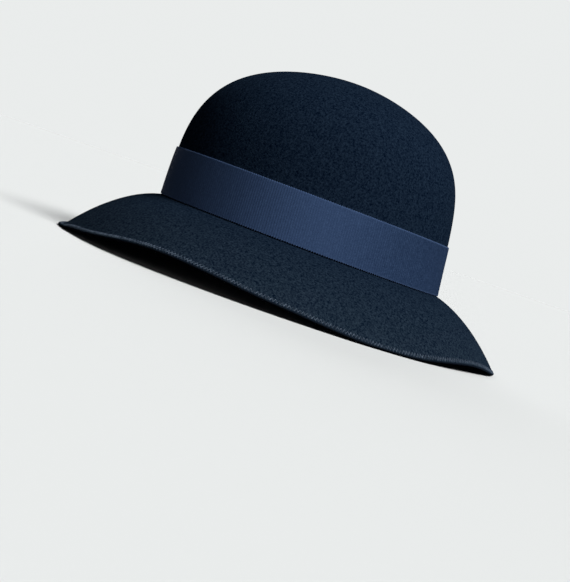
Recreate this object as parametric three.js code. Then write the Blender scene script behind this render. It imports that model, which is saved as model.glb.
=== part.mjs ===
// A felt fedora with a round dome crown, a ribbon band and a drooping brim, at rest on a table.
// Millimetres, +Z up, -Y to the front, +X to the wearer's left. The origin is the middle of the
// footprint, on the table.
import * as THREE from 'three';

// Felt and ribbon
const FELT_THICKNESS = 2;
const RIBBON_THICKNESS = 1;
const RIBBON_WIDTH = 33;
const RIBBON_GAP = 0.3;

// Inside of the crown: an oval that tapers a little and closes upwards as a superellipse does,
// with a wall that bows to the front at half its height
const HEAD_LENGTH = 194;
const HEAD_WIDTH = 164;
const CROWN_DEPTH = 112;
const CROWN_TAPER = 0.067;
const CROWN_RISE_POWER = 4.55;
const CROWN_CLOSE_POWER = 1.8;
const CROWN_BOW = 3.1;

// Turn from the crown's wall into the brim, on the inside of the felt
const BREAK_RADIUS = 2.5;
const BREAK_SLOPE = THREE.MathUtils.degToRad(14);
const BRIM_BEND_AT = 0.5;

// Brim's edge, a row for each direction in degrees from the front towards the wearer's left:
// how far it reaches out from the head oval, and how far it drops below the ribbon's lower edge
const BRIM_EDGE = [
  { at: 0, reach: 55, drop: 44 },
  { at: 30, reach: 54, drop: 40 },
  { at: 60, reach: 58, drop: 31 },
  { at: 90, reach: 57, drop: 35 },
  { at: 120, reach: 54, drop: 39 },
  { at: 150, reach: 53, drop: 33 },
  { at: 180, reach: 56, drop: 39 },
  { at: 210, reach: 53, drop: 31 },
  { at: 240, reach: 54, drop: 29 },
  { at: 270, reach: 57, drop: 35 },
  { at: 300, reach: 58, drop: 43 },
  { at: 330, reach: 54, drop: 45 },
];

// Small lip that turns out at the front of the brim and lies flat on the table
const LIP_LENGTH = 5;
const LIP_FALL = 2;
const LIP_WHOLE_TO = 6;
const LIP_GONE_AT = 24;
const LIP_STARTS_AT = 0.9;

// Depth by which the brim's front and back flatten against the table
const SETTLED_DEPTH = 2.5;

// Facets
const COLUMNS = 60;
const CROWN_ROWS = 14;
const BREAK_ROWS = 3;
const BRIM_ROWS = 10;
const RIBBON_ROWS = 3;

const FELT_LOOK = { name: 'navy_felt', color: 0x131c29, roughness: 0.95, metalness: 0 };
const RIBBON_LOOK = { name: 'navy_ribbon', color: 0x26355a, roughness: 0.6, metalness: 0 };

const { degToRad, euclideanModulo, smoothstep } = THREE.MathUtils;
const FULL_TURN = 360;

/** Smooth value of one column of the brim's table, in any direction. */
function brimSize(column, direction) {
  const rows = BRIM_EDGE.length;
  const spacing = BRIM_EDGE[1].at - BRIM_EDGE[0].at;
  const place = euclideanModulo(direction, FULL_TURN) / spacing;
  const row = Math.floor(place);
  const value = (step) => BRIM_EDGE[(row + step + rows) % rows][column];
  const along = place - row;
  const startSlope = (value(1) - value(-1)) / 2;
  const endSlope = (value(2) - value(0)) / 2;
  const rise = value(1) - value(0);
  const square = 3 * rise - 2 * startSlope - endSlope;
  const cube = startSlope + endSlope - 2 * rise;
  return value(0) + along * (startSlope + along * (square + along * cube));
}

/** Point of the head oval in one direction, and the way out from it, both level. */
function headOval(direction) {
  const angle = degToRad(direction);
  const halfWidth = HEAD_WIDTH / 2;
  const halfLength = HEAD_LENGTH / 2;
  const point = new THREE.Vector3(halfWidth * Math.sin(angle), -halfLength * Math.cos(angle), 0);
  const outward = new THREE.Vector3(Math.sin(angle) / halfWidth, -Math.cos(angle) / halfLength, 0);
  return { point, outward: outward.normalize() };
}

/** Inside of the crown: share 0 is the ribbon's lower edge, share 1 the top of the dome. */
function crownPoint(direction, share) {
  const angle = share * Math.PI / 2;
  const height = Math.sin(angle) ** (2 / CROWN_RISE_POWER);
  return crownAtHeight(direction, height);
}

/** Inside of the crown at a share of its depth. */
function crownAtHeight(direction, height) {
  const closing = Math.max(0, 1 - height ** CROWN_RISE_POWER) ** (1 / CROWN_CLOSE_POWER);
  const { point } = headOval(direction);
  point.multiplyScalar(closing * (1 - CROWN_TAPER * height));
  point.y -= CROWN_BOW * Math.sin(Math.PI * height);
  point.z = CROWN_DEPTH * height;
  return point;
}

/** Point at a distance out from the head oval, and at a height. */
function besideHead(direction, out, height) {
  const { point, outward } = headOval(direction);
  point.addScaledVector(outward, out);
  point.z = height;
  return point;
}

/** Turn from wall to brim: share 0 is upright, share 1 has the brim's first slope. */
function breakPoint(direction, share) {
  const turn = share * (Math.PI / 2 - BREAK_SLOPE);
  return besideHead(direction, BREAK_RADIUS * (1 - Math.cos(turn)), -BREAK_RADIUS * Math.sin(turn));
}

/** Underside of the brim: share 0 is its break, share 1 its edge. */
function brimPoint(direction, share) {
  const turn = Math.PI / 2 - BREAK_SLOPE;
  const start = new THREE.Vector2(BREAK_RADIUS * (1 - Math.cos(turn)), -BREAK_RADIUS * Math.sin(turn));
  const end = new THREE.Vector2(brimSize('reach', direction), -brimSize('drop', direction));
  const bendOut = (end.x - start.x) * BRIM_BEND_AT;
  const bend = new THREE.Vector2(start.x + bendOut, start.y - bendOut * Math.tan(BREAK_SLOPE));
  const lip = lipShare(direction);
  const along = Math.min(1, share * (1 + lip * (1 / LIP_STARTS_AT - 1)));
  const meridian = new THREE.QuadraticBezierCurve(start, bend, end).getPoint(along);
  const turnedOut = lip * Math.max(0, share - LIP_STARTS_AT) / (1 - LIP_STARTS_AT);
  return besideHead(direction, meridian.x + LIP_LENGTH * turnedOut, meridian.y - LIP_FALL * turnedOut);
}

/** Strength of the front lip: whole at the very front, and gone some way round. */
function lipShare(direction) {
  const fromBack = euclideanModulo(direction, FULL_TURN) - FULL_TURN / 2;
  const fromFront = FULL_TURN / 2 - Math.abs(fromBack);
  return 1 - smoothstep(fromFront, LIP_WHOLE_TO, LIP_GONE_AT);
}

// The hat leans back until the front and back of its brim stand at one height
const frontEdge = brimPoint(0, 1);
const backEdge = brimPoint(FULL_TURN / 2, 1);
const lean = Math.atan2(frontEdge.z - backEdge.z, backEdge.y - frontEdge.y);
const xAxis = new THREE.Vector3(1, 0, 0);
const tableDepth = frontEdge.clone().applyAxisAngle(xAxis, lean).z + SETTLED_DEPTH;

/** Sets a point of the worn hat's shape down on the table. */
function setDown(point) {
  point.applyAxisAngle(xAxis, lean);
  point.z -= tableDepth;
  return point;
}

/** Ring of points, one for each column. */
function ring(pointInDirection) {
  return Array.from({ length: COLUMNS }, (_, column) => pointInDirection(column * FULL_TURN / COLUMNS));
}

/** Triangles between two rings, where a ring of one point is a pole. */
function bandTriangles(upper, lower, columns) {
  const triangles = [];
  for (let column = 0; column < columns; column += 1) {
    const next = (column + 1) % columns;
    if (lower.length > 1) triangles.push([upper[column % upper.length], lower[column], lower[next]]);
    if (upper.length > 1) triangles.push([upper[column], lower[next % lower.length], upper[next]]);
  }
  return triangles;
}

/** Surface through a row of rings, closed on itself if it loops. */
function ringSurface(rings, loops) {
  const columns = Math.max(...rings.map((points) => points.length));
  const positions = [];
  const numbered = rings.map((points) => points.map((point) => positions.push(point) - 1));
  const pairs = numbered.slice(1).map((lower, index) => [numbered[index], lower]);
  if (loops) pairs.push([numbered.at(-1), numbered[0]]);
  const triangles = pairs.flatMap(([upper, lower]) => bandTriangles(upper, lower, columns));
  const geometry = new THREE.BufferGeometry().setFromPoints(positions);
  geometry.setIndex(triangles.flat());
  geometry.computeVertexNormals();
  return geometry;
}

/** Rings down the head side of the felt, from the top of the dome to the brim's edge. */
function headSideRings() {
  const rings = [[setDown(crownPoint(0, 1))]];
  for (let row = CROWN_ROWS - 1; row >= 0; row -= 1) {
    rings.push(ring((direction) => setDown(crownPoint(direction, row / CROWN_ROWS))));
  }
  for (let row = 1; row <= BREAK_ROWS; row += 1) {
    rings.push(ring((direction) => setDown(breakPoint(direction, row / BREAK_ROWS))));
  }
  for (let row = 1; row <= BRIM_ROWS; row += 1) {
    rings.push(ring((direction) => setDown(brimPoint(direction, row / BRIM_ROWS))));
  }
  return rings.map((points) => points.map((point) => point.setZ(Math.max(point.z, 0))));
}

/** Crown and brim: the head side, and the outside one felt thickness away from it. */
function feltBody() {
  const inside = headSideRings();
  const normals = ringSurface(inside, false).getAttribute('normal');
  let index = 0;
  const outside = inside.map((points) => points.map((point) => {
    const normal = new THREE.Vector3().fromBufferAttribute(normals, index);
    index += 1;
    return point.clone().addScaledVector(normal, FELT_THICKNESS);
  }));
  return ringSurface([...outside, ...inside.reverse()], false);
}

/** Ring of ribbon at a height on the crown's wall, a distance out from the felt's head side. */
function ribbonRing(height, out) {
  return ring((direction) => {
    const point = crownAtHeight(direction, height / CROWN_DEPTH);
    point.addScaledVector(headOval(direction).outward, out);
    return setDown(point);
  });
}

/** Ribbon wound round the crown's wall, just above the brim. */
function hatBand() {
  const inner = FELT_THICKNESS + RIBBON_GAP;
  const outer = inner + RIBBON_THICKNESS;
  const heights = [];
  for (let row = 0; row <= RIBBON_ROWS; row += 1) {
    heights.push(RIBBON_WIDTH * row / RIBBON_ROWS);
  }
  const outerRings = heights.toReversed().map((height) => ribbonRing(height, outer));
  const innerRings = heights.map((height) => ribbonRing(height, inner));
  return ringSurface([...outerRings, ...innerRings], true);
}

/** One named piece with its own material. */
function piece(name, geometry, look) {
  const mesh = new THREE.Mesh(geometry, new THREE.MeshStandardMaterial(look));
  mesh.name = name;
  return mesh;
}

const hat = new THREE.Group();
hat.add(piece('felt_body', feltBody(), FELT_LOOK));
hat.add(piece('hat_band', hatBand(), RIBBON_LOOK));

// The footprint's middle is the origin
const box = new THREE.Box3().setFromObject(hat);
const middle = box.getCenter(new THREE.Vector3());
hat.position.set(-middle.x, -middle.y, -box.min.z);

export default hat;
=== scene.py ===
"""Looks of a felt fedora at rest on its brim: napped felt, ribbed ribbon, edge stitches, studio.

Shapes are worked out in millimetres on the worn hat, as it stands over the level head oval, and are
then set down on the floor in metres. -Y is the front of the hat and +X the wearer's left.
"""
import logging
import math
from bisect import bisect_right
from collections.abc import Callable, Sequence
from dataclasses import dataclass, field
from enum import Enum

import bmesh
import bpy
from mathutils import Matrix, Vector, noise


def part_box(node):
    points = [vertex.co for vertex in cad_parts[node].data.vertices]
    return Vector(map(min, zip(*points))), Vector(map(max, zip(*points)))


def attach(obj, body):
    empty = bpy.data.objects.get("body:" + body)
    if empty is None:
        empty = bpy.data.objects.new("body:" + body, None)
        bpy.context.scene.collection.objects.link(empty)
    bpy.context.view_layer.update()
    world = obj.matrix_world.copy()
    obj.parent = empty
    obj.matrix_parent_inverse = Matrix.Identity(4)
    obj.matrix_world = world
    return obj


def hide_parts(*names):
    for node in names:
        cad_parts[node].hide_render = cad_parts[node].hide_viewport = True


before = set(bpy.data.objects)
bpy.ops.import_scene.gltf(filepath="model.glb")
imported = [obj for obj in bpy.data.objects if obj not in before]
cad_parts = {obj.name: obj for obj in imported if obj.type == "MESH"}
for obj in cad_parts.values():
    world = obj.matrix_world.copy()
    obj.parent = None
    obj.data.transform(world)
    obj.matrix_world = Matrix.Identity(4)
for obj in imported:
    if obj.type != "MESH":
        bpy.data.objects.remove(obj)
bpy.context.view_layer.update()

MM = 0.001
FULL_TURN = 360.0
UP = Vector((0, 0, 1))
Colour = tuple[float, float, float, float]
log = logging.getLogger("fedora")


class Section(Enum):
    """Stretches of the felt, from the top of the dome to the edge of the brim."""

    CROWN = "crown"
    BREAK = "break"
    BRIM = "brim"


class Lights(Enum):
    """What a lamp lights: matt colour, shine, or both."""

    MATT = "matt"
    SHINE = "shine"
    BOTH = "both"


class Blend(Enum):
    """Ways of mixing two colours, under Blender's own names."""

    MIX = "MIX"
    MULTIPLY = "MULTIPLY"


class Slant(Enum):
    """The two ways in which a stroke of the edge stitching leans."""

    RISING = "rising"
    FALLING = "falling"


@dataclass(frozen=True)
class BrimRow:
    """Brim's edge in one direction, in degrees from the front towards the wearer's left.

    The reach is out from the head oval, and the drop is below the ribbon's lower edge.
    """

    at: float
    reach: float
    drop: float


def smooth_round(values: Sequence[float], direction: float) -> float:
    """Smooth curve through values that are evenly spaced round the hat.

    Args:
        values: The values, the first of them at the front.
        direction: Degrees from the front.

    Returns:
        The value in that direction.
    """
    place = direction % FULL_TURN / FULL_TURN * len(values)
    row = math.floor(place)
    along = place - row
    before, start, end, after = (values[(row + step) % len(values)] for step in (-1, 0, 1, 2))
    start_slope = (end - before) / 2
    end_slope = (after - start) / 2
    rise = end - start
    square = 3 * rise - 2 * start_slope - end_slope
    cube = start_slope + end_slope - 2 * rise
    return start + along * (start_slope + along * (square + along * cube))


def smooth_step(value: float, start: float, end: float) -> float:
    """Eased share of the way from start to end, from 0 to 1."""
    share = min(1.0, max(0.0, (value - start) / (end - start)))
    return share * share * (3 - 2 * share)


def length_round(curve: Callable[[float], Vector], steps: int = 360) -> float:
    """Length of a closed curve round the hat.

    Args:
        curve: Point of the curve in a direction.
        steps: Number of short straight steps that the curve is measured in.

    Returns:
        The length in the curve's own unit.
    """
    points = [curve(FULL_TURN * step / steps) for step in range(steps)]
    return sum((end - start).length for start, end in zip(points, points[1:] + points[:1]))


def even_directions(curve: Callable[[float], Vector], count: int, samples: int = 1440) -> list[float]:
    """Directions that cut a closed curve round the hat into equal lengths.

    Args:
        curve: Point of the curve in a direction.
        count: Number of lengths.
        samples: Number of short straight steps that the curve is measured in.

    Returns:
        One direction for the start of each length, in degrees from the front.
    """
    points = [curve(FULL_TURN * step / samples) for step in range(samples + 1)]
    lengths = [0.0]
    for start, end in zip(points, points[1:]):
        lengths.append(lengths[-1] + (end - start).length)
    directions = []
    for number in range(count):
        wanted = lengths[-1] * number / count
        step = bisect_right(lengths, wanted) - 1
        part = (wanted - lengths[step]) / (lengths[step + 1] - lengths[step])
        directions.append(FULL_TURN * (step + part) / samples)
    return directions


@dataclass
class HatForm:
    """Shape of the felt's head side, and where it stands on the floor."""

    head_length: float = 194
    head_width: float = 164
    crown_depth: float = 112
    crown_taper: float = 0.067
    crown_rise_power: float = 4.55
    crown_close_power: float = 1.8
    crown_bow: float = 3.1
    break_radius: float = 2.5
    break_slope: float = math.radians(14)
    brim_bend_at: float = 0.5
    brim_edge: tuple[BrimRow, ...] = (
        BrimRow(0, 55, 44),
        BrimRow(30, 54, 40),
        BrimRow(60, 58, 31),
        BrimRow(90, 57, 35),
        BrimRow(120, 54, 39),
        BrimRow(150, 53, 33),
        BrimRow(180, 56, 39),
        BrimRow(210, 53, 31),
        BrimRow(240, 54, 29),
        BrimRow(270, 57, 35),
        BrimRow(300, 58, 43),
        BrimRow(330, 54, 45),
    )
    lip_length: float = 5
    lip_fall: float = 2
    lip_whole_to: float = 6
    lip_gone_at: float = 24
    lip_starts_at: float = 0.9
    settled_depth: float = 2.5
    hand_wave: float = 38
    hand_depth: float = 0.45
    hand_from_axis: float = 1
    share_step: float = 0.005
    turn_step: float = 0.2
    lean: Matrix = field(init=False)
    table_depth: float = field(init=False)
    middle: Vector = field(init=False)

    def __post_init__(self) -> None:
        """Leans the hat back until the front and back of its brim stand at one height."""
        front = self.brim_point(0, 1)
        back = self.brim_point(FULL_TURN / 2, 1)
        angle = math.atan2(front.z - back.z, back.y - front.y)
        self.lean = Matrix.Rotation(angle, 3, "X")
        self.middle = Vector((0, 0, 0))
        self.table_depth = (self.lean @ front).z + self.settled_depth

    def stand_on(self, ribbon_box: tuple[Vector, Vector], ribbon_width: float) -> None:
        """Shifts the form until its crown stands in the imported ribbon.

        Args:
            ribbon_box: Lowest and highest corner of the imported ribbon, in metres.
            ribbon_width: The ribbon's width.
        """
        heights = (0, ribbon_width / self.crown_depth)
        ends = [self.set_down(self.crown_at_height(turn, height)).y
                for turn in (0, FULL_TURN / 2) for height in heights]
        packed = (ribbon_box[0].y + ribbon_box[1].y) / 2 / MM
        self.middle.y = packed - (min(ends) + max(ends)) / 2

    def head_oval(self, direction: float) -> tuple[Vector, Vector]:
        """Head oval in a direction.

        Args:
            direction: Degrees from the front.

        Returns:
            The oval's point, and the level way out from it.
        """
        angle = math.radians(direction)
        half_width = self.head_width / 2
        half_length = self.head_length / 2
        point = Vector((half_width * math.sin(angle), -half_length * math.cos(angle), 0))
        outward = Vector((math.sin(angle) / half_width, -math.cos(angle) / half_length, 0))
        return point, outward.normalized()

    def crown_at_height(self, direction: float, height: float) -> Vector:
        """Head side of the crown at a height.

        Args:
            direction: Degrees from the front.
            height: Share of the crown's depth.

        Returns:
            A point on the worn hat.
        """
        closing = max(0.0, 1 - height**self.crown_rise_power) ** (1 / self.crown_close_power)
        point, _ = self.head_oval(direction)
        point *= closing * (1 - self.crown_taper * height)
        point.y -= self.crown_bow * math.sin(math.pi * height)
        point.z = self.crown_depth * height
        return point

    def crown_point(self, direction: float, share: float) -> Vector:
        """Head side of the crown, from the ribbon's lower edge to the top of the dome."""
        height = math.sin(share * math.pi / 2) ** (2 / self.crown_rise_power)
        return self.crown_at_height(direction, height)

    def beside_head(self, direction: float, out: float, height: float) -> Vector:
        """Point beside the head oval.

        Args:
            direction: Degrees from the front.
            out: Distance out from the oval.
            height: Height above the oval.

        Returns:
            A point on the worn hat.
        """
        point, outward = self.head_oval(direction)
        point += outward * out
        point.z = height
        return point

    def break_point(self, direction: float, share: float) -> Vector:
        """Turn from the upright wall into the brim.

        Args:
            direction: Degrees from the front.
            share: 0 where the felt is upright, 1 where it has the brim's first slope.

        Returns:
            A point on the worn hat.
        """
        turn = share * (math.pi / 2 - self.break_slope)
        out = self.break_radius * (1 - math.cos(turn))
        return self.beside_head(direction, out, -self.break_radius * math.sin(turn))

    def brim_point(self, direction: float, share: float) -> Vector:
        """Underside of the brim, from its break to its edge.

        Args:
            direction: Degrees from the front.
            share: 0 at the break, 1 at the edge.

        Returns:
            A point on the worn hat.
        """
        turn = math.pi / 2 - self.break_slope
        start = Vector((1 - math.cos(turn), -math.sin(turn))) * self.break_radius
        reach = smooth_round([row.reach for row in self.brim_edge], direction)
        drop = smooth_round([row.drop for row in self.brim_edge], direction)
        bend_out = (reach - start.x) * self.brim_bend_at
        bend = start + Vector((bend_out, -bend_out * math.tan(self.break_slope)))
        end = Vector((reach, -drop))
        lip = self.lip_share(direction)
        along = min(1.0, share * (1 + lip * (1 / self.lip_starts_at - 1)))
        place = start.lerp(bend, along).lerp(bend.lerp(end, along), along)
        turned_out = lip * max(0.0, share - self.lip_starts_at) / (1 - self.lip_starts_at)
        out = place.x + self.lip_length * turned_out
        return self.beside_head(direction, out, place.y - self.lip_fall * turned_out)

    def lip_share(self, direction: float) -> float:
        """Strength of the front lip: whole at the very front, and gone some way round."""
        from_front = FULL_TURN / 2 - abs(direction % FULL_TURN - FULL_TURN / 2)
        return 1 - smooth_step(from_front, self.lip_whole_to, self.lip_gone_at)

    def set_down(self, point: Vector) -> Vector:
        """Point of the worn hat where it stands on the floor, still in millimetres."""
        return self.lean @ point - UP * self.table_depth + self.middle

    def by_hand(self, point: Vector) -> Vector:
        """Moves a point in or out a little, as felt blocked by hand waves.

        Args:
            point: A point on the worn hat.

        Returns:
            The moved point.
        """
        level = Vector((point.x, point.y, 0))
        if level.length < self.hand_from_axis:
            return point
        return point + level.normalized() * noise.noise(point / self.hand_wave) * self.hand_depth

    def placed(self, point: Vector) -> Vector:
        """Point of the worn hat where it stands on the floor, in metres."""
        return self.set_down(self.by_hand(point)) * MM

    def felt_point(self, section: Section, direction: float, share: float) -> Vector:
        """Head side of the felt in metres, flattened where it meets the floor.

        Args:
            section: Stretch of the felt.
            direction: Degrees from the front.
            share: Share of that stretch.

        Returns:
            A point on the floor or above it.
        """
        shapes = {
            Section.CROWN: self.crown_point,
            Section.BREAK: self.break_point,
            Section.BRIM: self.brim_point,
        }
        point = self.placed(shapes[section](direction, share))
        point.z = max(point.z, 0.0)
        return point

    def brim_frame(self, direction: float, from_edge: float) -> tuple[Vector, Vector, Vector]:
        """Place on the underside of the brim at a distance from its edge.

        Args:
            direction: Degrees from the front.
            from_edge: Distance in from the edge.

        Returns:
            The point, the way along the edge and the way up out of the felt, in metres.
        """
        step = self.share_step
        share = 1.0
        left = from_edge * MM
        point = self.felt_point(Section.BRIM, direction, share)
        while left > 0:
            inner = self.felt_point(Section.BRIM, direction, share - step)
            length = (inner - point).length
            part = min(1.0, left / length)
            point = point.lerp(inner, part)
            share -= step * part
            left -= length
        along = self.felt_point(Section.BRIM, direction + self.turn_step, share) - point
        inward = self.felt_point(Section.BRIM, direction, share - step) - point
        out = along.cross(inward)
        if out.z < 0:
            out.negate()
        return point, along.normalized(), out.normalized()


def extrude_ring(mesh: bmesh.types.BMesh, ring: list[bmesh.types.BMVert]) -> list[bmesh.types.BMVert]:
    """Extrudes a closed ring of vertices.

    Args:
        mesh: Mesh of the ring.
        ring: Vertices in order.

    Returns:
        The new ring in the same order.
    """
    edges = [mesh.edges.get((ring[number - 1], vert)) for number, vert in enumerate(ring)]
    made = bmesh.ops.extrude_edge_only(mesh, edges=edges)["geom"]
    fresh = {item for item in made if isinstance(item, bmesh.types.BMVert)}
    return [
        next(edge.other_vert(vert) for edge in vert.link_edges if edge.other_vert(vert) in fresh)
        for vert in ring
    ]


def finished(name: str, mesh: bmesh.types.BMesh, material: bpy.types.Material) -> bpy.types.Object:
    """Object at the origin made from a mesh, with smooth faces and one material.

    Args:
        name: Name of the piece.
        mesh: Its mesh, which is freed.
        material: Its finish.

    Returns:
        The object, in the scene.
    """
    for face in mesh.faces:
        face.smooth = True
    data = bpy.data.meshes.new(name)
    mesh.to_mesh(data)
    mesh.free()
    data.materials.append(material)
    piece = bpy.data.objects.new(name, data)
    bpy.context.scene.collection.objects.link(piece)
    return piece


def add_wall(piece: bpy.types.Object, thickness: float, side: float) -> None:
    """Gives a sheet a wall.

    Args:
        piece: The sheet.
        thickness: Wall's thickness.
        side: 1 for a wall that grows out of the sheet's faces, -1 for one that grows behind them.
    """
    wall = piece.modifiers.new("wall", "SOLIDIFY")
    wall.thickness = thickness * MM
    wall.offset = side
    wall.use_even_offset = True
    wall.use_quality_normals = True


def add_rounding(piece: bpy.types.Object, levels: int) -> None:
    """Rounds a piece by subdivision, the same in every view.

    Args:
        piece: The piece.
        levels: How often its faces are divided.
    """
    rounding = piece.modifiers.new("rounding", "SUBSURF")
    rounding.levels = levels
    rounding.render_levels = levels


def fill_socket(tree: bpy.types.NodeTree, socket: bpy.types.NodeSocket, value: object) -> None:
    """Gives an input its value.

    Args:
        tree: Tree of the input's node.
        socket: The input.
        value: A plain value, or a socket that is linked to the input.
    """
    if isinstance(value, bpy.types.NodeSocket):
        tree.links.new(value, socket)
    else:
        socket.default_value = value


def new_node(tree: bpy.types.NodeTree, kind: str, **inputs: object) -> bpy.types.Node:
    """Adds a node and fills in its inputs.

    Args:
        tree: Tree that the node goes into.
        kind: Blender's name for the node.
        inputs: A value or a socket for each input, named with _ for a space.

    Returns:
        The node.
    """
    node = tree.nodes.new(kind)
    for name, value in inputs.items():
        fill_socket(tree, node.inputs[name.replace("_", " ")], value)
    return node


def new_maths(tree: bpy.types.NodeTree, operation: str, *values: object) -> bpy.types.NodeSocket:
    """Adds a sum of up to three values.

    Args:
        tree: Tree that the sum goes into.
        operation: Blender's name for the sum.
        values: A plain value or a socket for each input.

    Returns:
        The result.
    """
    node = tree.nodes.new("ShaderNodeMath")
    node.operation = operation
    for socket, value in zip(node.inputs, values):
        fill_socket(tree, socket, value)
    return node.outputs["Value"]


def new_mix(
    tree: bpy.types.NodeTree,
    factor: bpy.types.NodeSocket,
    first: object,
    second: object,
    blend: Blend = Blend.MIX,
) -> bpy.types.NodeSocket:
    """Adds a mix of two colours, each a plain value or a socket.

    Args:
        tree: Tree that the mix goes into.
        factor: Share of the second colour.
        first: The colour at a share of 0.
        second: The colour that is mixed in.
        blend: Way of mixing.

    Returns:
        The mixed colour.
    """
    node = tree.nodes.new("ShaderNodeMix")
    node.data_type = "RGBA"
    node.blend_type = blend.value
    tree.links.new(factor, node.inputs["Factor"])
    for name, value in (("A", first), ("B", second)):
        socket = next(one for one in node.inputs if one.name == name and one.type == "RGBA")
        fill_socket(tree, socket, value)
    return next(one for one in node.outputs if one.type == "RGBA")


@dataclass(frozen=True)
class FibreGrain:
    """Grain that all dyed fibre shares: wide blotches and fine specks, spread from dark to light."""

    name: str = "dyed_fibre"
    blotch_detail: float = 3
    blotch_roughness: float = 0.6
    blotch_share: float = 0.22
    speck_detail: float = 4
    speck_roughness: float = 0.6
    darkest: float = 0.44
    lightest: float = 0.78

    def group(self) -> bpy.types.NodeTree:
        """Builds the node group once. It gives the fibre's tone and a fine uneven height.

        Returns:
            The node group.
        """
        if self.name in bpy.data.node_groups:
            return bpy.data.node_groups[self.name]
        tree = bpy.data.node_groups.new(self.name, "ShaderNodeTree")
        for socket, kind in (
            ("Vector", "NodeSocketVector"),
            ("Blotch Scale", "NodeSocketFloat"),
            ("Speck Scale", "NodeSocketFloat"),
            ("Dark", "NodeSocketColor"),
            ("Light", "NodeSocketColor"),
        ):
            tree.interface.new_socket(socket, in_out="INPUT", socket_type=kind)
        tree.interface.new_socket("Color", in_out="OUTPUT", socket_type="NodeSocketColor")
        tree.interface.new_socket("Height", in_out="OUTPUT", socket_type="NodeSocketFloat")
        given = tree.nodes.new("NodeGroupInput").outputs
        blotch = new_node(tree, "ShaderNodeTexNoise", Vector=given["Vector"], Scale=given["Blotch Scale"],
                          Detail=self.blotch_detail, Roughness=self.blotch_roughness)
        speck = new_node(tree, "ShaderNodeTexNoise", Vector=given["Vector"], Scale=given["Speck Scale"],
                         Detail=self.speck_detail, Roughness=self.speck_roughness)
        both = new_maths(tree, "MULTIPLY_ADD", blotch.outputs["Fac"], self.blotch_share,
                         speck.outputs["Fac"])
        spread = new_node(tree, "ShaderNodeMapRange", Value=both,
                          From_Min=self.darkest, From_Max=self.lightest)
        tone = new_mix(tree, spread.outputs["Result"], given["Dark"], given["Light"])
        result = tree.nodes.new("NodeGroupOutput")
        tree.links.new(tone, result.inputs["Color"])
        tree.links.new(speck.outputs["Fac"], result.inputs["Height"])
        return tree


@dataclass(frozen=True)
class FibreFinish:
    """Finish of dyed fibre: tone from dark to light, unevenness, sheen and gloss."""

    name: str
    dark: Colour
    light: Colour
    blotch_scale: float
    speck_scale: float
    bump_depth: float
    bump_strength: float
    roughness: float
    gloss: float
    gloss_tint: Colour
    sheen: float
    sheen_roughness: float
    sheen_tint: Colour

    def material(self) -> bpy.types.Material:
        """Builds the material.

        Returns:
            The new material.
        """
        material = bpy.data.materials.new(self.name)
        material.use_nodes = True
        tree = material.node_tree
        shader = tree.nodes["Principled BSDF"]
        fibre = self.fibre(tree)
        tree.links.new(self.tone(tree, fibre.outputs["Color"]), shader.inputs["Base Color"])
        bump = new_node(tree, "ShaderNodeBump", Strength=self.bump_strength,
                        Distance=self.bump_depth * MM, Height=fibre.outputs["Height"])
        tree.links.new(bump.outputs["Normal"], shader.inputs["Normal"])
        shader.inputs["Roughness"].default_value = self.roughness
        shader.inputs["Specular IOR Level"].default_value = self.gloss
        shader.inputs["Specular Tint"].default_value = self.gloss_tint
        shader.inputs["Sheen Weight"].default_value = self.sheen
        shader.inputs["Sheen Roughness"].default_value = self.sheen_roughness
        shader.inputs["Sheen Tint"].default_value = self.sheen_tint
        return material

    def fibre(self, tree: bpy.types.NodeTree) -> bpy.types.Node:
        """Places the shared fibre group with this finish's values.

        Args:
            tree: The material's node tree.

        Returns:
            The group's node.
        """
        node = tree.nodes.new("ShaderNodeGroup")
        node.node_tree = FibreGrain().group()
        place = tree.nodes.new("ShaderNodeTexCoord")
        tree.links.new(place.outputs["Object"], node.inputs["Vector"])
        node.inputs["Blotch Scale"].default_value = self.blotch_scale
        node.inputs["Speck Scale"].default_value = self.speck_scale
        node.inputs["Dark"].default_value = self.dark
        node.inputs["Light"].default_value = self.light
        return node

    def tone(self, tree: bpy.types.NodeTree, fibre: bpy.types.NodeSocket) -> bpy.types.NodeSocket:
        """Base colour, here the fibre's own tone."""
        return fibre


@dataclass(frozen=True)
class FeltFinish(FibreFinish):
    """Short-napped felt, with painted light that makes the brim lighter and greyer towards its edge, and
    painted shade on and just inside its cut edge.
    """

    painted_edge_tone: Colour
    painted_edge_width: float
    painted_brim_light_gain: Colour
    painted_brim_light_width: float

    def tone(self, tree: bpy.types.NodeTree, fibre: bpy.types.NodeSocket) -> bpy.types.NodeSocket:
        """Fibre's tone, with painted light that makes it lighter and greyer towards the brim's edge, and
        painted shade on the cut edge.

        Args:
            tree: The material's node tree.
            fibre: Tone of the fibre.

        Returns:
            The base colour.
        """
        # Painted shade: nearly black on the cut edge, fading out a little way in from it.
        from_edge = tree.nodes.new("ShaderNodeAttribute")
        from_edge.attribute_name = "from_edge"
        past_painted_edge_shade = new_node(tree, "ShaderNodeMapRange", Value=from_edge.outputs["Fac"],
                          From_Min=0.0, From_Max=self.painted_edge_width * MM)
        # Painted light: the felt grows lighter and greyer towards the brim's edge, for the light that the
        # upward-facing brim catches.
        painted_brim_light_mask = new_node(tree, "ShaderNodeMapRange", Value=from_edge.outputs["Fac"], From_Min=0.0,
                        From_Max=self.painted_brim_light_width * MM, To_Min=1.0, To_Max=0.0)
        painted_brim_light = new_mix(tree, painted_brim_light_mask.outputs["Result"], fibre, self.painted_brim_light_gain, Blend.MULTIPLY)
        return new_mix(tree, past_painted_edge_shade.outputs["Result"], self.painted_edge_tone, painted_brim_light)


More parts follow.
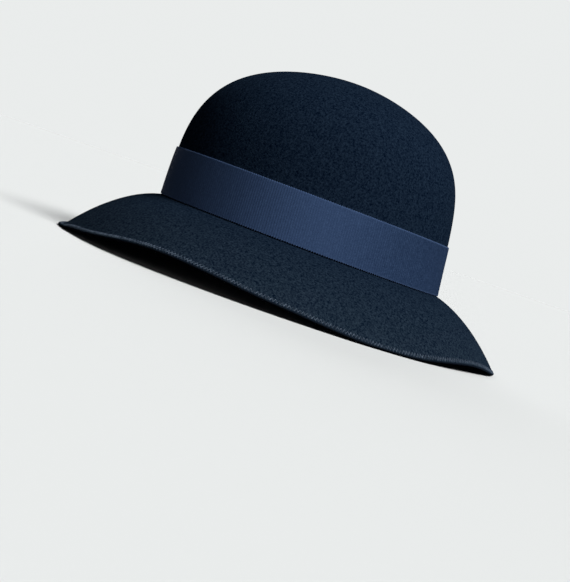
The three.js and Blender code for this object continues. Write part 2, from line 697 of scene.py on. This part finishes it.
@dataclass(frozen=True)
class RibbonFinish(FibreFinish):
    """Ribbed ribbon whose ribs differ a little in tone, with painted shade in the grooves between the
    ribs and a painted highlight along both woven edges.

    The width of the painted groove shade is a share of the ribs' pitch.
    """

    rib_pitch: float
    rib_shade: float
    painted_groove_width: float
    painted_groove_shade: float
    width: float
    painted_edge_width: float
    painted_highlight_share: float
    painted_edge_tone: Colour

    def tone(self, tree: bpy.types.NodeTree, fibre: bpy.types.NodeSocket) -> bpy.types.NodeSocket:
        """Fibre's tone, a little different on each rib, with painted shade in the grooves and a painted
        highlight along both woven edges.

        Args:
            tree: The material's node tree.
            fibre: Tone of the fibre.

        Returns:
            The base colour.
        """
        cut = tree.nodes.new("ShaderNodeUVMap")
        cut.uv_map = "cut"
        parts = new_node(tree, "ShaderNodeSeparateXYZ", Vector=cut.outputs["UV"])
        rib = new_maths(tree, "DIVIDE", parts.outputs["X"], self.rib_pitch * MM)
        whole = new_maths(tree, "FLOOR", rib)
        chance = tree.nodes.new("ShaderNodeTexWhiteNoise")
        chance.noise_dimensions = "1D"
        tree.links.new(whole, chance.inputs["W"])
        shade = new_node(tree, "ShaderNodeMapRange", Value=chance.outputs["Value"],
                         To_Min=0.0, To_Max=self.rib_shade)
        half_pitch = 1 / 2
        # Painted shade in the grooves, where neighbouring ribs shade each other.
        from_groove = new_maths(tree, "PINGPONG", rib, half_pitch)
        painted_groove_mask = new_node(tree, "ShaderNodeMapRange", Value=from_groove, From_Min=0.0,
                          From_Max=self.painted_groove_width, To_Min=self.painted_groove_shade, To_Max=0.0)
        painted_grooves = new_mix(tree, painted_groove_mask.outputs["Result"], fibre, self.dark)
        ribbed = new_mix(tree, shade.outputs["Result"], painted_grooves, self.dark)
        # Painted highlight: a lighter band along both woven edges, where the edges catch the light.
        half = self.width / 2 * MM
        across = new_maths(tree, "SUBTRACT", parts.outputs["Y"], half)
        to_edge = new_maths(tree, "SUBTRACT", half, new_maths(tree, "ABSOLUTE", across))
        painted_edge_highlight = new_node(tree, "ShaderNodeMapRange", Value=to_edge, From_Min=0.0,
                         From_Max=self.painted_edge_width * MM, To_Min=self.painted_highlight_share, To_Max=0.0)
        return new_mix(tree, painted_edge_highlight.outputs["Result"], ribbed, self.painted_edge_tone)


@dataclass
class FeltBody:
    """Crown and brim, blocked from one hood of felt."""

    form: HatForm
    thickness: float = 2
    columns: int = 120
    crown_rows: int = 26
    break_rows: int = 4
    brim_rows: int = 26

    def rows(self) -> list[tuple[Section, float]]:
        """Rows of the felt from the brim's edge up to the last one below the top.

        Returns:
            The stretch of each row, and its share of that stretch.
        """
        brim = [(Section.BRIM, 1 - row / self.brim_rows) for row in range(self.brim_rows)]
        turn = [(Section.BREAK, 1 - row / self.break_rows) for row in range(self.break_rows)]
        crown = [(Section.CROWN, row / self.crown_rows) for row in range(self.crown_rows)]
        return brim + turn + crown

    def ring_points(self, section: Section, share: float) -> list[Vector]:
        """Points of one row of the felt's head side.

        Args:
            section: Stretch of the felt.
            share: Share of that stretch.

        Returns:
            One point for each column, in metres.
        """
        return [
            self.form.felt_point(section, FULL_TURN * column / self.columns, share)
            for column in range(self.columns)
        ]

    def head_side(self) -> bmesh.types.BMesh:
        """Sheet of the felt's head side, drawn up ring by ring from the brim's edge.

        Returns:
            The mesh, with each vertex's distance from the edge.
        """
        mesh = bmesh.new()
        from_edge = mesh.verts.layers.float.new("from_edge")
        rows = self.rows()
        ring = list(bmesh.ops.create_circle(mesh, segments=self.columns, radius=1)["verts"])
        for vert, point in zip(ring, self.ring_points(*rows[0])):
            vert.co = point
        for section, share in rows[1:]:
            lower = ring
            ring = extrude_ring(mesh, lower)
            for vert, below, point in zip(ring, lower, self.ring_points(section, share)):
                vert.co = point
                vert[from_edge] = below[from_edge] + (point - below.co).length
        tip = extrude_ring(mesh, ring)
        for vert, below in zip(tip, ring):
            vert[from_edge] = below[from_edge]
        bmesh.ops.pointmerge(mesh, verts=tip, merge_co=self.form.felt_point(Section.CROWN, 0, 1))
        bmesh.ops.recalc_face_normals(mesh, faces=mesh.faces)
        highest = max(mesh.verts, key=lambda vert: vert.co.z)
        if highest.normal.z < 0:
            bmesh.ops.reverse_faces(mesh, faces=mesh.faces)
        return mesh

    def build(self, finish: FeltFinish) -> bpy.types.Object:
        """Makes the felt with its wall and its rounded edge.

        Args:
            finish: The felt's finish.

        Returns:
            The felt body.
        """
        piece = finished("fedora_felt", self.head_side(), finish.material())
        add_wall(piece, self.thickness, 1)
        add_rounding(piece, 1)
        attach(piece, "root")
        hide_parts("felt_body")
        return piece


@dataclass
class HatBand:
    """Ribbed ribbon, cut flat and wound round the foot of the crown with its ends lapped."""

    form: HatForm
    felt_thickness: float
    width: float = 33
    thickness: float = 0.6
    gap: float = 0.25
    rib_pitch: float = 1.6
    rib_height: float = 0.07
    tooth: float = 0.9
    tooth_reach: float = 2.2
    upper_tooth_share: float = 0.5
    woven_edge: float = 0.9
    edge_fall: float = 0.6
    columns_in_rib: int = 6
    rows: int = 12
    lap: float = 22
    lap_rise: float = 9
    lap_gap: float = 0.1
    lap_direction: float = 262
    ribs_around: int = field(init=False)
    lap_ribs: int = field(init=False)
    length: float = field(init=False)
    directions: list[float] = field(init=False)

    def __post_init__(self) -> None:
        """Cuts the ribbon to a whole number of ribs round the crown."""
        around = length_round(self.middle_line) / MM
        self.ribs_around = round(around / self.rib_pitch)
        self.rib_pitch = around / self.ribs_around
        self.lap_ribs = round(self.lap / self.rib_pitch)
        self.length = (self.ribs_around + self.lap_ribs) * self.rib_pitch
        self.directions = even_directions(self.middle_line, self.ribs_around * self.columns_in_rib)

    def middle_line(self, direction: float) -> Vector:
        """Point of the felt under the middle of the ribbon."""
        return self.on_wall(direction, self.width / 2, self.felt_thickness)

    def on_wall(self, direction: float, height: float, out: float) -> Vector:
        """Point beside the crown's wall, in metres.

        Args:
            direction: Degrees from the front.
            height: Height above the ribbon's seat at the brim's break.
            out: Distance out from the felt's head side.

        Returns:
            The point.
        """
        point = self.form.crown_at_height(direction, height / self.form.crown_depth)
        _, outward = self.form.head_oval(direction)
        return self.form.placed(point + outward * out)

    def wound(self, column: int, across: float) -> Vector:
        """Where a point of the flat ribbon comes to lie on the hat.

        Args:
            column: Number of the column along the ribbon.
            across: Distance from the ribbon's lower edge.

        Returns:
            The point, in metres.
        """
        columns_around = len(self.directions)
        start = round(self.lap_direction / FULL_TURN * columns_around)
        direction = self.directions[(start + column) % columns_around]
        rib = abs(math.sin(math.pi * column / self.columns_in_rib))
        to_edge = min(across, self.width - across)
        full = smooth_step(to_edge, -self.edge_fall, self.woven_edge)
        along = column * self.rib_pitch / self.columns_in_rib
        around = columns_around * self.rib_pitch / self.columns_in_rib
        layer = smooth_step(along, around - self.lap_rise, around)
        out = self.felt_thickness + self.gap + self.thickness + self.rib_height * rib * full
        out += layer * (self.thickness + self.rib_height + self.lap_gap)
        low_end = 1 - smooth_step(across, 0, self.tooth_reach)
        high_end = 1 - smooth_step(self.width - across, 0, self.tooth_reach)
        height = across + self.tooth * (1 - rib) * (low_end - high_end * self.upper_tooth_share)
        return self.on_wall(direction, height, out)

    def row_place(self, share: float) -> float:
        """Distance of a row from the lower edge, with the rows closer together near both edges."""
        return self.width * (1 - math.cos(math.pi * share)) / 2

    def build(self, finish: RibbonFinish, seat: bpy.types.Object) -> bpy.types.Object:
        """Makes the ribbon from its flat cut.

        Args:
            finish: The ribbon's finish.
            seat: Felt that the ribbon lies on; not used.

        Returns:
            The ribbon.
        """
        columns = (self.ribs_around + self.lap_ribs) * self.columns_in_rib
        half = 1 / 2
        mesh = bmesh.new()
        bmesh.ops.create_grid(mesh, x_segments=columns, y_segments=self.rows, size=half)
        cut = mesh.loops.layers.uv.new("cut")
        flat = {}
        for vert in mesh.verts:
            column = round((vert.co.x + half) * columns)
            across = self.row_place(vert.co.y + half)
            flat[vert.index] = (column * self.length * MM / columns, across * MM)
            vert.co = self.wound(column, across)
        for face in mesh.faces:
            for loop in face.loops:
                loop[cut].uv = flat[loop.vert.index]
        mesh.normal_update()
        first = next(iter(mesh.faces))
        middle = self.form.placed(Vector((0, 0, 0)))
        if first.normal.dot(first.calc_center_median() - middle) < 0:
            bmesh.ops.reverse_faces(mesh, faces=mesh.faces)
        piece = finished("fedora_ribbon", mesh, finish.material())
        add_wall(piece, self.thickness, -1)
        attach(piece, "root")
        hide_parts("hat_band")
        return piece


@dataclass
class EdgeStitches:
    """Zigzag row of thread along the brim's edge."""

    form: HatForm
    felt_thickness: float
    spacing: float = 2.2
    low: float = 1.2
    high: float = 4.0
    lean: float = 0.62
    thread: float = 0.42
    falling_share: float = 0.6
    stroke_reach: float = 0.58
    sunk: float = 0.1
    sides: int = 6
    steps: int = 5
    run: int = 24
    measure_steps: int = 720

    def surface(self, direction: float, from_edge: float) -> tuple[Vector, Vector]:
        """Brim's outer face, at the depth that the thread is sunk to.

        Args:
            direction: Degrees from the front.
            from_edge: Distance in from the edge.

        Returns:
            The point, and the way out of the felt.
        """
        point, _, out = self.form.brim_frame(direction, from_edge)
        return point + out * (self.felt_thickness - self.sunk) * MM, out

    def low_line(self, direction: float) -> Vector:
        """Point of the row's lower line, where each stitch starts and ends."""
        return self.surface(direction, self.low)[0]

    def add_stroke(self, mesh: bmesh.types.BMesh, start: tuple[Vector, Vector],
                   end: tuple[Vector, Vector], slant: Slant) -> None:
        """Adds one stroke of thread, thicker where it rises.

        Args:
            mesh: Mesh of the stitches.
            start: Point and way out of the felt where the thread comes up.
            end: The same where it goes down.
            slant: Way in which the stroke leans.
        """
        along = end[0] - start[0]
        out = (start[1] + end[1]).normalized()
        side = out.cross(along).normalized()
        width = self.thread if slant is Slant.RISING else self.thread * self.falling_share
        axes = Matrix((side, along.normalized().cross(side), along.normalized())).transposed()
        size = Matrix.Diagonal((width * MM, width * MM, along.length * self.stroke_reach))
        place = Matrix.Translation((start[0] + end[0]) / 2)
        bmesh.ops.create_uvsphere(mesh, u_segments=self.sides, v_segments=self.steps, radius=1,
                                  matrix=place @ (axes @ size).to_4x4())

    def build(self, finish: FibreFinish) -> bpy.types.Object:
        """Makes the row of stitches.

        Args:
            finish: The thread's finish.

        Returns:
            All the stitches as one piece.
        """
        count = round(length_round(self.low_line) / MM / self.spacing)
        directions = even_directions(self.low_line, count, self.measure_steps)
        directions.append(directions[0] + FULL_TURN)
        mesh = bmesh.new()
        run = bpy.data.meshes.new("run_of_stitches")
        for first in range(0, count, self.run):
            short = bmesh.new()
            part = directions[first:first + self.run + 1]
            for start, end in zip(part, part[1:]):
                top = self.surface(start + (end - start) * self.lean, self.high)
                self.add_stroke(short, self.surface(start, self.low), top, Slant.RISING)
                self.add_stroke(short, top, self.surface(end, self.low), Slant.FALLING)
            short.to_mesh(run)
            short.free()
            mesh.from_mesh(run)
        bpy.data.meshes.remove(run)
        piece = finished("fedora_edge_stitches", mesh, finish.material())
        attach(piece, "root")
        return piece


@dataclass(frozen=True)
class Lamp:
    """Distant soft light: its turn from the wearer's left towards the back, height and softness."""

    name: str
    strength: float
    turn: float
    height: float
    softness: float
    lights: Lights = Lights.BOTH

    def source(self) -> Vector:
        """Way towards the light.

        Returns:
            The way, one long.
        """
        turn = math.radians(self.turn)
        height = math.radians(self.height)
        level = math.cos(height)
        return Vector((level * math.cos(turn), level * math.sin(turn), math.sin(height)))

    def hang(self) -> None:
        """Puts the light into the scene."""
        lamp = bpy.data.lights.new(self.name, "SUN")
        lamp.energy = self.strength
        lamp.angle = math.radians(self.softness)
        light = bpy.data.objects.new(self.name, lamp)
        light.visible_diffuse = self.lights is not Lights.SHINE
        light.visible_glossy = self.lights is not Lights.MATT
        light.matrix_world = self.source().to_track_quat("Z", "Y").to_matrix().to_4x4()
        bpy.context.scene.collection.objects.link(light)


@dataclass
class Studio:
    """Pale seamless floor, soft light and the camera at the photograph's angle."""

    floor_radius: float = 40
    floor_sides: int = 96
    floor_tone: Colour = (0.605, 0.62, 0.617, 1)
    ambient: float = 0.025
    lamps: tuple[Lamp, ...] = (
        Lamp("key", strength=5.2, turn=52, height=44, softness=30, lights=Lights.MATT),
        Lamp("front", strength=0.22, turn=-20, height=12, softness=40),
        Lamp("fill", strength=1.3, turn=192, height=24, softness=40),
        Lamp("reflector", strength=4.6, turn=9, height=18, softness=30, lights=Lights.SHINE),
    )
    image_size: tuple[int, int] = (570, 582)
    focal_pixels: float = 1200
    aim_pixel: tuple[float, float] = (299.3, 244.3)
    sensor: float = 36
    camera_distance: float = 815.7
    camera_height: float = 58
    camera_roll: float = math.radians(19.2)

    def lay_floor(self) -> None:
        """Lays the floor, which takes shadows but throws no light up at the hat."""
        mesh = bmesh.new()
        bmesh.ops.create_circle(mesh, cap_ends=True, segments=self.floor_sides, radius=self.floor_radius)
        material = bpy.data.materials.new("studio_floor")
        material.use_nodes = True
        tree = material.node_tree
        tree.nodes.clear()
        matt = new_node(tree, "ShaderNodeBsdfDiffuse", Color=self.floor_tone)
        new_node(tree, "ShaderNodeOutputMaterial", Surface=matt.outputs["BSDF"])
        floor = finished("studio_floor", mesh, material)
        floor.visible_diffuse = False
        floor.visible_glossy = False

    def light(self) -> None:
        """Hangs the lamps, and a backdrop of the lit floor's own tone that gives little light itself."""
        lit = self.ambient
        for lamp in self.lamps:
            lamp.hang()
            if lamp.lights is not Lights.SHINE:
                lit += lamp.strength * lamp.source().z / math.pi
        world = bpy.data.worlds.new("studio")
        world.use_nodes = True
        tree = world.node_tree
        tree.nodes.clear()
        surround = new_node(tree, "ShaderNodeBackground", Color=(1, 1, 1, 1), Strength=self.ambient)
        backdrop = new_node(tree, "ShaderNodeBackground", Color=self.floor_tone, Strength=lit)
        seen = tree.nodes.new("ShaderNodeLightPath").outputs["Is Camera Ray"]
        either = new_node(tree, "ShaderNodeMixShader", Fac=seen)
        tree.links.new(surround.outputs["Background"], either.inputs[1])
        tree.links.new(backdrop.outputs["Background"], either.inputs[2])
        new_node(tree, "ShaderNodeOutputWorld", Surface=either.outputs["Shader"])
        bpy.context.scene.world = world
        bpy.context.scene.view_settings.view_transform = "Standard"

    def set_camera(self, target: Vector) -> None:
        """Sets the camera low at the wearer's left, turned as the photograph is.

        Args:
            target: Middle of the head oval at the ribbon's lower edge.
        """
        drop = (self.camera_height * MM - target.z) / (self.camera_distance * MM)
        rise = math.asin(drop)
        place = target + Vector((math.cos(rise), 0, drop)) * self.camera_distance * MM
        forward = (target - place).normalized()
        level = forward.cross(UP).normalized()
        upright = level.cross(forward)
        right = level * math.cos(self.camera_roll) + upright * math.sin(self.camera_roll)
        up = upright * math.cos(self.camera_roll) - level * math.sin(self.camera_roll)
        off_right = (self.aim_pixel[0] - self.image_size[0] / 2) / self.focal_pixels
        off_up = (self.image_size[1] / 2 - self.aim_pixel[1]) / self.focal_pixels
        axis = (forward - right * off_right - up * off_up).normalized()
        right = (right - axis * right.dot(axis)).normalized()
        turned = Matrix((right, right.cross(axis), -axis)).transposed()
        lens = bpy.data.cameras.new("photo")
        lens.sensor_width = self.sensor
        lens.lens = self.sensor * self.focal_pixels / max(self.image_size)
        lens.clip_start = MM
        camera = bpy.data.objects.new("photo", lens)
        camera.matrix_world = Matrix.Translation(place) @ turned.to_4x4()
        bpy.context.scene.collection.objects.link(camera)
        bpy.context.scene.camera = camera


FELT = FeltFinish(
    name="napped_felt",
    dark=(0.0004, 0.0026, 0.0090, 1),
    light=(0.0098, 0.0188, 0.0340, 1),
    blotch_scale=300,
    speck_scale=800,
    bump_depth=0.4,
    bump_strength=0.6,
    roughness=0.95,
    gloss=0.0,
    gloss_tint=(1, 1, 1, 1),
    sheen=0.006,
    sheen_roughness=0.5,
    sheen_tint=(0.35, 0.55, 0.80, 1),
    # Painted shade on and next to the brim's cut edge.
    painted_edge_tone=(0.004, 0.006, 0.010, 1),
    painted_edge_width=1.2,
    # Painted light: the brim lighter and greyer towards its edge.
    painted_brim_light_gain=(1.65, 1.42, 1.17, 1),
    painted_brim_light_width=80,
)
THREAD = FibreFinish(
    name="edge_thread",
    dark=(0.010, 0.017, 0.028, 1),
    light=(0.062, 0.082, 0.112, 1),
    blotch_scale=130,
    speck_scale=420,
    bump_depth=0.1,
    bump_strength=0.5,
    roughness=0.7,
    gloss=0.1,
    gloss_tint=(0.7, 0.8, 1, 1),
    sheen=0.0,
    sheen_roughness=0.4,
    sheen_tint=(0.7, 0.75, 0.85, 1),
)


def ribbon_finish(band: HatBand) -> RibbonFinish:
    """Ribbon's finish, with its pattern fitted to the ribbon's own sizes.

    Args:
        band: The ribbon.

    Returns:
        The finish.
    """
    return RibbonFinish(
        name="ribbed_ribbon",
        dark=(0.0056, 0.0130, 0.0330, 1),
        light=(0.0218, 0.0400, 0.0820, 1),
        blotch_scale=300,
        speck_scale=1000,
        bump_depth=0.15,
        bump_strength=0.4,
        roughness=0.7,
        gloss=0.6,
        gloss_tint=(0.28, 0.48, 1, 1),
        sheen=0.0,
        sheen_roughness=0.4,
        sheen_tint=(0.6, 0.7, 0.9, 1),
        rib_pitch=band.rib_pitch,
        rib_shade=0.2,
        # Painted shade in the grooves between the ribs.
        painted_groove_width=0.3,
        painted_groove_shade=0.75,
        width=band.width,
        # Painted highlight along both woven edges.
        painted_edge_width=band.woven_edge,
        painted_highlight_share=0.5,
        painted_edge_tone=(0.065, 0.105, 0.205, 1),
    )


def main() -> None:
    """Builds the hat and its studio."""
    logging.basicConfig(level=logging.INFO, format="%(name)s: %(message)s")
    form = HatForm()
    felt = FeltBody(form)
    form.stand_on(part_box("hat_band"), HatBand.width)
    studio = Studio()
    studio.set_camera(form.placed(Vector((0, 0, 0))))
    studio.lay_floor()
    studio.light()
    body = felt.build(FELT)
    log.info("%s: %d by %d rows of felt", body.name, felt.columns, len(felt.rows()))
    band = HatBand(form, felt.thickness)
    ribbon = band.build(ribbon_finish(band), body)
    log.info("%s: %.0f mm of ribbon, %d ribs round the crown", ribbon.name, band.length, band.ribs_around)
    stitches = EdgeStitches(form, felt.thickness).build(THREAD)
    log.info("%s: %d faces", stitches.name, len(stitches.data.polygons))


if __name__ == "__main__":
    main()
